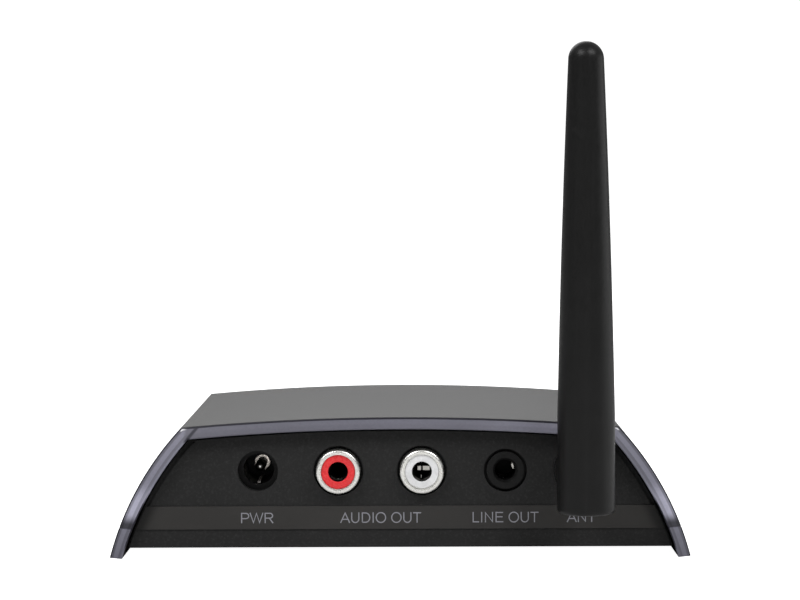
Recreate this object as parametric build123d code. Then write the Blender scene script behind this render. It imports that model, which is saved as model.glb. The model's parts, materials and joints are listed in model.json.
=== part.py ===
"""Bluetooth audio receiver: a small arched box with a row of sockets and a swivelling antenna.

Millimetres, +Z up. The box is centred on X, its sockets face +Y and its front faces -Y.
The origin is at the middle of the whole object's footprint, on the table.
"""
from build123d import *
from math import cos, radians, sin, tan
import os

# ---- cover: a thick arch, open at both ends ----
FOOT_X = 54.4  # half width over the feet
SHOULDER_X = 40.85  # the sharp line between the top and a side
SHOULDER_Z = 24.45
CROWN_Z = 26.25
SIDE_BULGE = 1.75  # how far a side bows out from its chord
COVER_DEPTH = 76.0
INNER_FOOT_X = 51.95
INNER_SHOULDER_X = 39.5
INNER_SHOULDER_Z = 22.3
INNER_CROWN_Z = 24.1
INNER_BULGE = 1.4
BEVEL_DEPTH = 1.3  # each open end is bevelled back from its inner edge to its outer edge
BEVEL_LAND = 0.25  # the flat left at the bevel's inner edge

# ---- end panels and tray ----
PANEL_RECESS = 2.5  # the panels stand this far inside the cover's ends
PANEL_THICKNESS = 2.0
PANEL_GAP = 1.0  # between a panel's visible face and the cover
LEDGE_GAP = 0.2  # between the ledge round a panel's back half and the cover
BASE_Z = 1.7  # underside of the tray and of the panels
FLOOR_THICKNESS = 2.0
TRAY_GAP = 0.3
TRAY_WALL = 1.5
TRAY_WALL_TOP = 9.0
BAND_LOW_Z = 5.15  # the smooth raised band under the sockets
BAND_HIGH_Z = 9.5
BAND_RAISE = 0.25
NARROW_GAP = 0.5  # the same gap along the cover's top, and on the legs from the band down
CROWN_HALF_WIDTH = 38.4  # half the width of the stretch with that gap along the top

# ---- sockets, all on one line ----
SOCKET_Z = 16.1
POWER_X = 26.65
RED_X = 11.55
WHITE_X = -4.1
LINE_X = -19.75
ANTENNA_X = -34.0
POWER_HOLE_R = 3.8
PHONO_HOLE_R = 4.675
LINE_HOLE_R = 4.05
BUSHING_HOLE_R = 4.0
BEHIND_PANEL = 0.1  # gap between a socket's housing and the panel

# ---- phono sockets ----
PHONO_SHELL_R = 4.15
PHONO_SHELL_BORE_R = 3.2
PHONO_INSERT_R = 3.15
PHONO_BORE_R = 1.85
PHONO_PROTRUSION = 2.2
PHONO_INSERT_RECESS = 0.35
PHONO_GUIDE_LENGTH = 3.0
PHONO_CAVITY_R = 2.6
PHONO_CAVITY_DEPTH = 11.0
PHONO_CONTACT_BORE_R = 2.15
PHONO_HOUSING = (10.0, 12.0, 12.5)
PHONO_HOLD_DEPTH = 7.0  # how far the metal shell goes into the housing

# ---- line socket ----
LINE_NOSE_R = 3.5
LINE_BORE_R = 1.95
LINE_MOUTH_R = 2.35
LINE_MOUTH_DEPTH = 0.5
LINE_GUIDE_LENGTH = 4.0
LINE_CHAMBER_R = 2.7
LINE_CHAMBER_DEPTH = 15.5
LINE_HOUSING = (11.0, 14.5, 11.5)

# ---- power socket ----
POWER_SETBACK = 3.5  # from the panel's face to the socket's mouth
POWER_HOUSING = (9.0, 14.0, 11.0)
POWER_BORE_R = 2.9
POWER_BORE_DEPTH = 12.5
POWER_PIN_R = 1.0
POWER_PIN_LENGTH = 8.5
POWER_RING_R = 1.6

# ---- antenna ----
ANTENNA_REACH = 13.2  # from the panel's face to the antenna's axis
ANTENNA_BOTTOM_Z = 9.7
ANTENNA_TOP_Z = 95.5
ANTENNA_R = 5.25
HOOD_R = 5.3  # the foot is a little fuller and narrows gently above
HOOD_TOP_Z = 13.5
TAPER_START_Z = 18.0
TAPER_LOW_Z = 28.0
TAPER_MID = (4.52, 57.0)
TIP_R = 3.25
HOOD_ROUND = 0.9
FORK_HALF_WIDTH = 2.0
TONGUE_HALF_WIDTH = 1.8
TONGUE_R = 3.9
FORK_CLEARANCE = 0.25
HINGE_PIN_R = 1.25
HINGE_PIN_HALF = 4.6
HINGE_CLEARANCE = 0.05
HUB_R = 5.0
HUB_LENGTH = 4.0
SHAFT_R = 3.0
SHAFT_CLEARANCE = 0.04
SHAFT_DEPTH = 8.6  # how far the shaft reaches in behind the panel's face
LEAD_BORE_R = 1.1
FLANGE_R = 5.25
FLANGE_THICKNESS = 0.8
FLANGE_GAP = 0.1
BUSHING_R = 3.95
BUSHING_DEPTH = 6.0
BUSHING_NUT = (11.0, 2.2)  # across flats, thickness
CLIP_THICKNESS = 0.8
CLIP_GROOVE_R = 2.5
CORE_BORE_R = 2.2
CORE_LOW_Z = 24.0
CORE_HIGH_Z = 86.0

# ---- board ----
BOARD_HALF_WIDTH = 34.0
BOARD_TOP_Z = 9.5
BOARD_THICKNESS = 1.6
BOARD_FRONT_GAP = 2.05
BOARD_REAR_GAP = 0.6
BOARD_SCREWS = [(30, -35), (30, 2), (-30, -35), (-30, 2)]
BOARD_SCREW_R = 1.25
BOARD_HEAD = (2.4, 1.5)  # radius, height
POST_R = 3.0

# ---- cover screws and feet ----
COVER_SCREWS = [(38, 12), (38, -28), (-38, 12), (-38, -28)]
COVER_SCREW_R = 1.5
COVER_HEAD = (2.8, 1.6)
COVER_SCREW_TOP = 15.0
BOSS_R = 3.0
PAD_R = 4.2
PAD_TOP_Z = 5.4
FEET = [(44, 1), (44, -19), (-44, 1), (-44, -19)]
FOOT_R = 4.5
FOOT_POCKET = 0.6

# ---- pair button, switch, lamp ----
BUTTON_Z = 13.5
BUTTON_R = 4.85
BUTTON_HOLE_R = 5.0
BUTTON_PROUD = 1.0
BUTTON_FLANGE_R = 5.8
BUTTON_FLANGE = 1.0
BUTTON_STEM = (2.4, 1.9)
PLUNGER_R = 1.7
PLUNGER_LENGTH = 3.2
PLUNGER_IN_SWITCH = 1.6
SWITCH_HOLE_R = 1.75
SWITCH_HOLE_DEPTH = 2.2
SWITCH = (6.4, 4.0, 7.2)
LAMP_X = 15.0
LIGHT_PIPE_R = 1.45
LAMP_HOLE_R = 1.5
LAMP = (2.0, 1.2, 0.8)

# ---- planes that follow from the dimensions above ----
OVERHANG = ANTENNA_REACH - PANEL_RECESS + HOOD_R
REAR_Y = (COVER_DEPTH - OVERHANG) / 2
FRONT_Y = REAR_Y - COVER_DEPTH
PANEL_Y = REAR_Y - PANEL_RECESS
PANEL_BACK_Y = PANEL_Y - PANEL_THICKNESS
FACIA_Y = FRONT_Y + PANEL_RECESS
FACIA_BACK_Y = FACIA_Y + PANEL_THICKNESS
AXIS_Y = PANEL_Y + ANTENNA_REACH
HOUSING_Y = PANEL_BACK_Y - BEHIND_PANEL
FLOOR_TOP_Z = BASE_Z + FLOOR_THICKNESS
BOARD_FRONT_Y = FACIA_BACK_Y + BOARD_FRONT_GAP
BOARD_REAR_Y = PANEL_BACK_Y - BOARD_REAR_GAP


def block(x0, x1, y0, y1, z0, z1):
    """A box between two corners."""
    centre = Pos((x0 + x1) / 2, (y0 + y1) / 2, (z0 + z1) / 2)
    return centre * Box(abs(x1 - x0), abs(y1 - y0), abs(z1 - z0))


def on_board(x, y, size, z=BOARD_TOP_Z):
    """A box of the given size that stands on the board, centred on x and y."""
    width, depth, height = size
    return block(x - width / 2, x + width / 2, y - depth / 2, y + depth / 2, z, z + height)


def rod_x(x0, x1, y, z, radius):
    return Pos((x0 + x1) / 2, y, z) * Rot(0, 90, 0) * Cylinder(radius, x1 - x0)


def rod_y(x, z, y0, y1, radius):
    return Pos(x, (y0 + y1) / 2, z) * Rot(-90, 0, 0) * Cylinder(radius, y1 - y0)


def rod_z(x, y, z0, z1, radius):
    return Pos(x, y, (z0 + z1) / 2) * Cylinder(radius, z1 - z0)


def funnel_y(x, z, y0, y1, r0, r1):
    """A cone frustum along Y with radius r0 at y0 and r1 at y1."""
    return Pos(x, (y0 + y1) / 2, z) * Rot(-90, 0, 0) * Cone(r0, r1, y1 - y0)


def end_edges(solid, axis, last=True):
    """The round edges at one end of a solid."""
    rows = solid.edges().filter_by(GeomType.CIRCLE).group_by(axis)
    return rows[-1] if last else rows[0]


def upright(y):
    """A drawing plane that faces the front, with its origin on the table at depth y."""
    return Plane(origin=(0, y, 0), x_dir=(1, 0, 0), z_dir=(0, -1, 0))


def arch(foot_x, shoulder_x, shoulder_z, crown_z, bulge, low_z=0.0):
    """The arch's outline: a flat foot line, two bowed sides and a gently curved top."""
    mid_x = (foot_x + shoulder_x) / 2
    mid_z = (low_z + shoulder_z) / 2
    side = Vector(shoulder_x - foot_x, shoulder_z - low_z).normalized()
    bow_x = mid_x + side.Y * bulge
    bow_z = mid_z - side.X * bulge
    foot = Line((-foot_x, low_z), (foot_x, low_z))
    right = ThreePointArc((foot_x, low_z), (bow_x, bow_z), (shoulder_x, shoulder_z))
    top = ThreePointArc((shoulder_x, shoulder_z), (0, crown_z), (-shoulder_x, shoulder_z))
    left = ThreePointArc((-shoulder_x, shoulder_z), (-bow_x, bow_z), (-foot_x, low_z))
    return make_face(Curve() + [foot, right, top, left])


def outer_arch():
    return arch(FOOT_X, SHOULDER_X, SHOULDER_Z, CROWN_Z, SIDE_BULGE)


def inner_arch(gap=0.0):
    """The cover's inner outline, drawn in by a gap on every side."""
    return arch(
        INNER_FOOT_X - gap * 1.12,
        INNER_SHOULDER_X - gap * 0.7,
        INNER_SHOULDER_Z - gap,
        INNER_CROWN_Z - gap,
        INNER_BULGE,
    )


def prism(outline, y_rear, depth):
    """An outline pushed forward from y_rear."""
    return extrude(upright(y_rear) * outline, depth)


def make_cover():
    """The arch with bevelled ends, and four bosses for the screws."""
    land = inner_arch(-BEVEL_LAND)
    middle = prism(outer_arch(), REAR_Y - BEVEL_DEPTH, COVER_DEPTH - 2 * BEVEL_DEPTH)
    rear_rim = loft(
        [upright(REAR_Y - BEVEL_DEPTH) * outer_arch(), upright(REAR_Y) * land], ruled=True
    )
    front_rim = loft(
        [upright(FRONT_Y) * land, upright(FRONT_Y + BEVEL_DEPTH) * outer_arch()], ruled=True
    )
    block_form = middle + rear_rim + front_rim
    cover = block_form - prism(inner_arch(), REAR_Y + 1, COVER_DEPTH + 2)
    for x, y in COVER_SCREWS:
        boss = rod_z(x, y, PAD_TOP_Z + 0.1, CROWN_Z, BOSS_R)
        cover += boss & middle
    for x, y in COVER_SCREWS:
        cover -= rod_z(x, y, PAD_TOP_Z, COVER_SCREW_TOP + 1, COVER_SCREW_R)
    return cover


def make_tray():
    """Floor, low side walls, board posts, screw pads and foot pockets."""
    depth = PANEL_BACK_Y - FACIA_BACK_Y
    body = prism(inner_arch(TRAY_GAP), PANEL_BACK_Y, depth)
    body &= block(-60, 60, FACIA_BACK_Y, PANEL_BACK_Y, BASE_Z, TRAY_WALL_TOP)
    hollow = prism(inner_arch(TRAY_GAP + TRAY_WALL), PANEL_BACK_Y, depth)
    body -= hollow & block(-60, 60, FACIA_BACK_Y, PANEL_BACK_Y, FLOOR_TOP_Z, TRAY_WALL_TOP + 1)
    for x, y in BOARD_SCREWS:
        body += rod_z(x, y, FLOOR_TOP_Z - 0.5, BOARD_TOP_Z - BOARD_THICKNESS, POST_R)
        body -= rod_z(x, y, FLOOR_TOP_Z, BOARD_TOP_Z, BOARD_SCREW_R)
    head_r, head_height = COVER_HEAD
    for x, y in COVER_SCREWS:
        body += rod_z(x, y, FLOOR_TOP_Z - 0.5, PAD_TOP_Z, PAD_R)
        body -= rod_z(x, y, BASE_Z - 1, BASE_Z + 0.2 + head_height, head_r + 0.2)
        body -= rod_z(x, y, BASE_Z, PAD_TOP_Z + 1, COVER_SCREW_R + 0.2)
    for x, y in FEET:
        body -= rod_z(x, y, BASE_Z - 1, BASE_Z + FOOT_POCKET, FOOT_R + 0.1)
    return body


def panel_plate(face_y, back_y):
    """A plate cut to the arch, with a ledge round its back half that closes the gap to the cover."""
    middle_y = (face_y + back_y) / 2
    plate = prism(inner_arch(PANEL_GAP), max(face_y, back_y), PANEL_THICKNESS)
    plate += prism(inner_arch(LEDGE_GAP), max(middle_y, back_y), PANEL_THICKNESS / 2)
    return plate & block(-60, 60, face_y, back_y, BASE_Z, CROWN_Z)


def make_rear_panel():
    """A flat plate with a raised band and five socket holes, set closer to the cover except in the legs."""
    middle_y = PANEL_Y - PANEL_THICKNESS / 2
    band_y = PANEL_Y + BAND_RAISE
    wide = prism(inner_arch(NARROW_GAP), band_y, band_y - middle_y)
    band = wide & block(-60, 60, middle_y, band_y, BAND_LOW_Z, BAND_HIGH_Z)
    skirt = wide & block(-60, 60, middle_y, PANEL_Y, BASE_Z, BAND_LOW_Z)
    crown = wide & block(-CROWN_HALF_WIDTH, CROWN_HALF_WIDTH, middle_y, PANEL_Y, BAND_LOW_Z, CROWN_Z)
    panel = panel_plate(PANEL_Y, PANEL_BACK_Y) + band + skirt + crown
    holes = [
        (POWER_X, POWER_HOLE_R),
        (RED_X, PHONO_HOLE_R),
        (WHITE_X, PHONO_HOLE_R),
        (LINE_X, LINE_HOLE_R),
        (ANTENNA_X, BUSHING_HOLE_R),
    ]
    for x, radius in holes:
        panel -= rod_y(x, SOCKET_Z, PANEL_BACK_Y - 1, PANEL_Y + 1, radius)
    return panel


def make_front_panel():
    """A flat plate with a button hole and a lamp hole."""
    panel = panel_plate(FACIA_Y, FACIA_BACK_Y)
    panel -= rod_y(0, BUTTON_Z, FACIA_Y - 1, FACIA_BACK_Y + 1, BUTTON_HOLE_R)
    panel -= rod_y(LAMP_X, BUTTON_Z, FACIA_Y - 1, FACIA_BACK_Y + 1, LAMP_HOLE_R)
    return panel


def make_phono(x):
    """One phono socket as a dictionary of housing, shell, insert and contact."""
    tip_y = PANEL_Y + PHONO_PROTRUSION
    face_y = tip_y - PHONO_INSERT_RECESS
    inner_end_y = HOUSING_Y - PHONO_HOLD_DEPTH
    width, depth, height = PHONO_HOUSING
    housing = block(
        x - width / 2, x + width / 2, HOUSING_Y - depth, HOUSING_Y, BOARD_TOP_Z, BOARD_TOP_Z + height
    )
    housing -= rod_y(x, SOCKET_Z, inner_end_y, HOUSING_Y + 1, PHONO_SHELL_R)
    shell = rod_y(x, SOCKET_Z, inner_end_y, tip_y, PHONO_SHELL_R)
    shell -= rod_y(x, SOCKET_Z, inner_end_y - 1, tip_y + 1, PHONO_SHELL_BORE_R)
    shell = fillet(end_edges(shell, Axis.Y), 0.35)
    insert = rod_y(x, SOCKET_Z, inner_end_y, face_y, PHONO_INSERT_R)
    insert -= rod_y(x, SOCKET_Z, face_y - PHONO_GUIDE_LENGTH, face_y + 1, PHONO_BORE_R)
    insert -= rod_y(x, SOCKET_Z, face_y - PHONO_CAVITY_DEPTH, face_y - PHONO_GUIDE_LENGTH, PHONO_CAVITY_R)
    return {
        "housing": housing,
        "shell": shell,
        "insert": insert,
        "contact": phono_contact(x, face_y),
    }


def phono_contact(x, face_y):
    """A spring tube with four slots, held behind the insert's guide hole."""
    mouth_y = face_y - PHONO_GUIDE_LENGTH - 0.2
    end_y = face_y - PHONO_CAVITY_DEPTH + 0.2
    tube = rod_y(x, SOCKET_Z, end_y, mouth_y, PHONO_CAVITY_R - 0.1)
    tube -= rod_y(x, SOCKET_Z, end_y + 1, mouth_y + 1, PHONO_CONTACT_BORE_R)
    for turn in (45, 135):
        cutter = Box(8, 4.5, 0.5)
        tube -= Pos(x, mouth_y, SOCKET_Z) * Rot(0, turn, 0) * cutter
    return tube


def make_line_jack():
    """The 3.5 mm socket's moulding: a box on the board and a round nose in the panel."""
    tip_y = PANEL_Y - 0.1
    guide_y = tip_y - LINE_MOUTH_DEPTH - LINE_GUIDE_LENGTH
    width, depth, height = LINE_HOUSING
    body = block(
        LINE_X - width / 2,
        LINE_X + width / 2,
        HOUSING_Y - depth,
        HOUSING_Y,
        BOARD_TOP_Z,
        BOARD_TOP_Z + height,
    )
    body += rod_y(LINE_X, SOCKET_Z, HOUSING_Y - 1, tip_y, LINE_NOSE_R)
    body -= rod_y(LINE_X, SOCKET_Z, guide_y, tip_y + 1, LINE_BORE_R)
    body -= funnel_y(LINE_X, SOCKET_Z, tip_y - LINE_MOUTH_DEPTH, tip_y, LINE_BORE_R, LINE_MOUTH_R)
    body -= rod_y(LINE_X, SOCKET_Z, tip_y - LINE_CHAMBER_DEPTH, guide_y, LINE_CHAMBER_R)
    return body


def make_line_contacts():
    """Three spring strips spaced round the plug's path."""
    start_y = PANEL_Y - 5.2
    strips = []
    for turn, length in ((45, 4.0), (165, 6.5), (285, 9.0)):
        strip = Pos(0, -length / 2, 2.15) * Box(1.3, length, 0.3)
        strips.append(Pos(LINE_X, start_y, SOCKET_Z) * Rot(0, turn, 0) * strip)
    return Compound(strips)


def make_power_jack():
    width, depth, height = POWER_HOUSING
    mouth_y = PANEL_Y - POWER_SETBACK
    body = block(
        POWER_X - width / 2, POWER_X + width / 2, mouth_y - depth, mouth_y, BOARD_TOP_Z, BOARD_TOP_Z + height
    )
    return body - rod_y(POWER_X, SOCKET_Z, mouth_y - POWER_BORE_DEPTH, mouth_y + 1, POWER_BORE_R)


def make_power_pin():
    """The centre pin with a domed tip and a collar at its root."""
    root_y = PANEL_Y - POWER_SETBACK - POWER_BORE_DEPTH
    tip_y = root_y + POWER_PIN_LENGTH
    pin = rod_y(POWER_X, SOCKET_Z, root_y, tip_y, POWER_PIN_R)
    pin = fillet(end_edges(pin, Axis.Y), 0.5)
    return pin + rod_y(POWER_X, SOCKET_Z, root_y, root_y + 1, POWER_RING_R)


def make_power_spring():
    """The side contact: a narrow strip low in the socket's bore, from its root to the mouth."""
    root_y = PANEL_Y - POWER_SETBACK - POWER_BORE_DEPTH
    low_z = SOCKET_Z - POWER_BORE_R + 0.2
    tip_y = PANEL_Y - POWER_SETBACK - 0.5
    return block(POWER_X - 0.3, POWER_X + 0.3, root_y, tip_y, low_z, low_z + 0.3)


def make_bushing():
    """A flanged bearing in the panel for the antenna's shaft."""
    bushing = rod_y(ANTENNA_X, SOCKET_Z, PANEL_Y, PANEL_Y + FLANGE_THICKNESS, FLANGE_R)
    bushing += rod_y(ANTENNA_X, SOCKET_Z, PANEL_Y - BUSHING_DEPTH, PANEL_Y, BUSHING_R)
    bore_r = SHAFT_R + SHAFT_CLEARANCE
    return bushing - rod_y(ANTENNA_X, SOCKET_Z, PANEL_Y - BUSHING_DEPTH - 1, PANEL_Y + 2, bore_r)


def make_bushing_nut():
    across_flats, thickness = BUSHING_NUT
    outline = RegularPolygon(across_flats / 2, 6, major_radius=False) - Circle(BUSHING_R)
    place = upright(PANEL_BACK_Y) * Pos(ANTENNA_X, SOCKET_Z)
    return extrude(place * outline, thickness)


def make_spring_washer():
    """The washer that gives the swivel its drag."""
    near_y = PANEL_Y - BUSHING_DEPTH
    washer = rod_y(ANTENNA_X, SOCKET_Z, near_y - 0.6, near_y, 4.9)
    return washer - rod_y(ANTENNA_X, SOCKET_Z, near_y - 1, near_y + 1, SHAFT_R + 0.2)


def clip_y():
    """The rear face of the shaft's retaining clip."""
    return PANEL_Y - BUSHING_DEPTH - 0.7


def make_clip():
    """An open ring in the shaft's groove."""
    clip = rod_y(ANTENNA_X, SOCKET_Z, clip_y() - CLIP_THICKNESS, clip_y(), 4.6)
    clip -= rod_y(ANTENNA_X, SOCKET_Z, clip_y() - 2, clip_y() + 1, CLIP_GROOVE_R)
    mouth = block(ANTENNA_X - 2, ANTENNA_X + 2, clip_y() - 2, clip_y() + 1, SOCKET_Z - 6, SOCKET_Z)
    return clip - mouth


def make_knuckle():
    """Hollow shaft, round hub and a flat tongue for the tilt hinge."""
    hub_y = PANEL_Y + FLANGE_THICKNESS + FLANGE_GAP
    tongue_y = hub_y + HUB_LENGTH
    knuckle = rod_y(ANTENNA_X, SOCKET_Z, PANEL_Y - SHAFT_DEPTH, hub_y, SHAFT_R)
    hub = rod_y(ANTENNA_X, SOCKET_Z, hub_y, tongue_y, HUB_R)
    knuckle += fillet(end_edges(hub, Axis.Y), 0.5)
    knuckle += block(
        ANTENNA_X - TONGUE_HALF_WIDTH,
        ANTENNA_X + TONGUE_HALF_WIDTH,
        tongue_y - 1,
        AXIS_Y,
        SOCKET_Z - TONGUE_R,
        SOCKET_Z + TONGUE_R,
    )
    left, right = ANTENNA_X - TONGUE_HALF_WIDTH, ANTENNA_X + TONGUE_HALF_WIDTH
    knuckle += rod_x(left, right, AXIS_Y, SOCKET_Z, TONGUE_R)
    knuckle -= rod_x(left - 1, right + 1, AXIS_Y, SOCKET_Z, HINGE_PIN_R + HINGE_CLEARANCE)
    knuckle -= rod_y(ANTENNA_X, SOCKET_Z, PANEL_Y - SHAFT_DEPTH - 1, hub_y + 2, LEAD_BORE_R)
    groove = rod_y(ANTENNA_X, SOCKET_Z, clip_y() - CLIP_THICKNESS, clip_y(), SHAFT_R + 1)
    groove -= rod_y(ANTENNA_X, SOCKET_Z, clip_y() - CLIP_THICKNESS, clip_y(), CLIP_GROOVE_R)
    return knuckle - groove


def make_hinge_pin():
    return rod_x(ANTENNA_X - HINGE_PIN_HALF, ANTENNA_X + HINGE_PIN_HALF, AXIS_Y, SOCKET_Z, HINGE_PIN_R)


def sleeve_outline():
    """Half of the antenna's section: straight foot, long gentle taper, round tip."""
    tip_z = ANTENNA_TOP_Z - TIP_R
    corner = HOOD_ROUND * (1 - cos(radians(45)))
    low = ANTENNA_BOTTOM_Z
    lines = [
        Line((0, low), (HOOD_R - HOOD_ROUND, low)),
        ThreePointArc(
            (HOOD_R - HOOD_ROUND, low), (HOOD_R - corner, low + corner), (HOOD_R, low + HOOD_ROUND)
        ),
        Line((HOOD_R, low + HOOD_ROUND), (HOOD_R, HOOD_TOP_Z)),
        Line((HOOD_R, HOOD_TOP_Z), (ANTENNA_R, TAPER_START_Z)),
        Line((ANTENNA_R, TAPER_START_Z), (ANTENNA_R, TAPER_LOW_Z)),
        ThreePointArc((ANTENNA_R, TAPER_LOW_Z), TAPER_MID, (TIP_R, tip_z)),
        ThreePointArc(
            (TIP_R, tip_z), (TIP_R * sin(radians(45)), tip_z + TIP_R * sin(radians(45))), (0, ANTENNA_TOP_Z)
        ),
        Line((0, ANTENNA_TOP_Z), (0, low)),
    ]
    return make_face(Curve() + lines)


def make_sleeve():
    """The antenna's cover: a fork round the tongue below and a long bore above."""
    sleeve = revolve(Plane.XZ * sleeve_outline(), Axis.Z)
    reach = TONGUE_R + FORK_CLEARANCE
    pivot_z = SOCKET_Z
    sleeve -= block(-FORK_HALF_WIDTH, FORK_HALF_WIDTH, -10, reach, 0, pivot_z + reach)
    sleeve -= rod_x(-HINGE_PIN_HALF, HINGE_PIN_HALF, 0, pivot_z, HINGE_PIN_R)
    sleeve -= rod_z(0, 0, CORE_LOW_Z, CORE_HIGH_Z, CORE_BORE_R)
    sleeve -= rod_z(0, 0, pivot_z + reach - 1, CORE_LOW_Z + 1, 0.9)
    return Pos(ANTENNA_X, AXIS_Y, 0) * sleeve


def make_element():
    """The radiator: brass skirt, thin core and a collar that centres it in the bore."""
    parts = [
        rod_z(0, 0, CORE_LOW_Z + 0.2, CORE_LOW_Z + 4, CORE_BORE_R),
        rod_z(0, 0, CORE_LOW_Z + 4, 55, 1.75),
        rod_z(0, 0, 55, CORE_HIGH_Z - 1.5, 0.6),
    ]
    return Pos(ANTENNA_X, AXIS_Y, 0) * (parts[0] + parts[1] + parts[2])


def make_board():
    board = block(
        -BOARD_HALF_WIDTH,
        BOARD_HALF_WIDTH,
        BOARD_FRONT_Y,
        BOARD_REAR_Y,
        BOARD_TOP_Z - BOARD_THICKNESS,
        BOARD_TOP_Z,
    )
    for x, y in BOARD_SCREWS:
        board -= rod_z(x, y, 0, BOARD_TOP_Z + 1, BOARD_SCREW_R + 0.25)
    return board


def make_board_screws():
    head_r, head_height = BOARD_HEAD
    screws = []
    for x, y in BOARD_SCREWS:
        shank = rod_z(x, y, FLOOR_TOP_Z + 1, BOARD_TOP_Z, BOARD_SCREW_R)
        head = rod_z(x, y, BOARD_TOP_Z, BOARD_TOP_Z + head_height, head_r)
        screws.append(shank + head)
    return Compound(screws)


def make_cover_screws():
    head_r, head_height = COVER_HEAD
    seat_z = BASE_Z + 0.2 + head_height
    screws = []
    for x, y in COVER_SCREWS:
        head = rod_z(x, y, seat_z - head_height, seat_z, head_r)
        screw = head + rod_z(x, y, seat_z, COVER_SCREW_TOP, COVER_SCREW_R)
        for turn in (0, 90):
            screw -= Pos(x, y, seat_z - head_height) * Rot(0, 0, turn) * Box(3.2, 0.7, 1.4)
        screws.append(screw)
    return Compound(screws)


def make_feet():
    feet = []
    for x, y in FEET:
        foot = rod_z(x, y, 0, BASE_Z + FOOT_POCKET, FOOT_R)
        feet.append(fillet(end_edges(foot, Axis.Z, last=False), 0.4))
    return Compound(feet)


def make_button():
    """The pair button: a shallow dished cap, a flange behind the panel and a stem."""
    face_y = FACIA_Y - BUTTON_PROUD
    flange_y = FACIA_BACK_Y + 0.1
    stem_r, stem_length = BUTTON_STEM
    cap = rod_y(0, BUTTON_Z, face_y, flange_y, BUTTON_R)
    cap = fillet(end_edges(cap, Axis.Y, last=False), 0.4)
    cap += rod_y(0, BUTTON_Z, flange_y, flange_y + BUTTON_FLANGE, BUTTON_FLANGE_R)
    stem_y = flange_y + BUTTON_FLANGE
    cap += rod_y(0, BUTTON_Z, stem_y, stem_y + stem_length, stem_r)
    dish_r = 24.0
    dish = Pos(0, face_y - dish_r + 0.35, BUTTON_Z) * Sphere(dish_r)
    return cap - dish


def plunger_front_y():
    return FACIA_BACK_Y + 0.1 + BUTTON_FLANGE + BUTTON_STEM[1]


def make_plunger():
    start = plunger_front_y()
    return rod_y(0, BUTTON_Z, start, start + PLUNGER_LENGTH, PLUNGER_R)


def make_switch():
    """The push switch that stands on the board's front edge."""
    width, depth, height = SWITCH
    mouth_y = plunger_front_y() + PLUNGER_LENGTH - PLUNGER_IN_SWITCH
    body = block(-width / 2, width / 2, mouth_y, mouth_y + depth, BOARD_TOP_Z, BOARD_TOP_Z + height)
    return body - rod_y(0, BUTTON_Z, mouth_y - 1, mouth_y + SWITCH_HOLE_DEPTH, SWITCH_HOLE_R)


def make_light_pipe():
    """A clear rod from the front panel that turns down over the lamp."""
    bend_y = BOARD_FRONT_Y + 4.5
    pipe = rod_y(LAMP_X, BUTTON_Z, FACIA_Y - 0.2, bend_y, LIGHT_PIPE_R)
    leg_low = BOARD_TOP_Z + LAMP[2] + 0.3
    pipe += block(LAMP_X - 1.2, LAMP_X + 1.2, bend_y - 2.4, bend_y, leg_low, BUTTON_Z)
    return pipe


def make_module():
    return on_board(-22.5, -19, (15, 24, 0.8))


def make_module_chip():
    return on_board(-22.5, -22, (6, 6, 0.9), BOARD_TOP_Z + 0.8)


def make_shield():
    """A five-sided can over the module's chip."""
    base_z = BOARD_TOP_Z + 0.8
    can = on_board(-22.5, -22, (13, 15, 2.2), base_z)
    return can - on_board(-22.5, -22, (12.4, 14.4, 1.9), base_z)


def make_lead_connector():
    """The small round coaxial plug on the module's rear end."""
    base_z = BOARD_TOP_Z + 0.8
    return rod_z(-22.5, -10.5, base_z, base_z + 1.8, 1.5)


def make_lead():
    """The thin coaxial lead from the swivel's shaft down to the module."""
    low_z = BOARD_TOP_Z + 0.8 + 1.1
    start = Vector(ANTENNA_X, PANEL_Y - SHAFT_DEPTH + 3, SOCKET_Z)
    first = Vector(ANTENNA_X, 8, SOCKET_Z)
    second = Vector(-30.2, -4, low_z)
    end = Vector(-23.7, -9.5, low_z)
    runs = [first - start, second - first, end - second]
    radii = []
    for before, after in zip(runs, runs[1:]):
        shorter = min(before.length, after.length)
        radii.append(0.45 * shorter / tan(radians(before.get_angle(after) / 2)))
    path = FilletPolyline(start, first, second, end, radius=radii)
    section = Plane(origin=path @ 0, z_dir=path % 0) * Circle(0.65)
    return sweep(section, path=path)


def make_capacitors():
    """Electrolytic cans of two sizes."""
    cans = []
    for x, y, radius, height in (
        (24.0, -12.0, 4.0, 9.0),
        (13.5, -12.0, 4.0, 9.0),
        (10.5, 5.5, 2.5, 7.0),
        (-3.0, 5.5, 2.5, 7.0),
        (-11.0, 4.5, 2.5, 7.0),
    ):
        can = rod_z(x, y, BOARD_TOP_Z, BOARD_TOP_Z + height, radius)
        cans.append(fillet(end_edges(can, Axis.Z), 0.4))
    return Compound(cans)


def make_chip_parts():
    """Two rows of small resistors and ceramic capacitors."""
    parts = []
    for index in range(8):
        parts.append(on_board(-9 + index * 3.2, -24, (1.0, 1.8, 0.5)))
        parts.append(on_board(-9 + index * 3.2, -2, (1.2, 2.0, 0.7)))
    return Compound(parts)


def make_inductor():
    body = on_board(24, -25, (7, 7, 3.5))
    return fillet(body.edges().filter_by(Axis.Z), 1.5)


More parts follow.
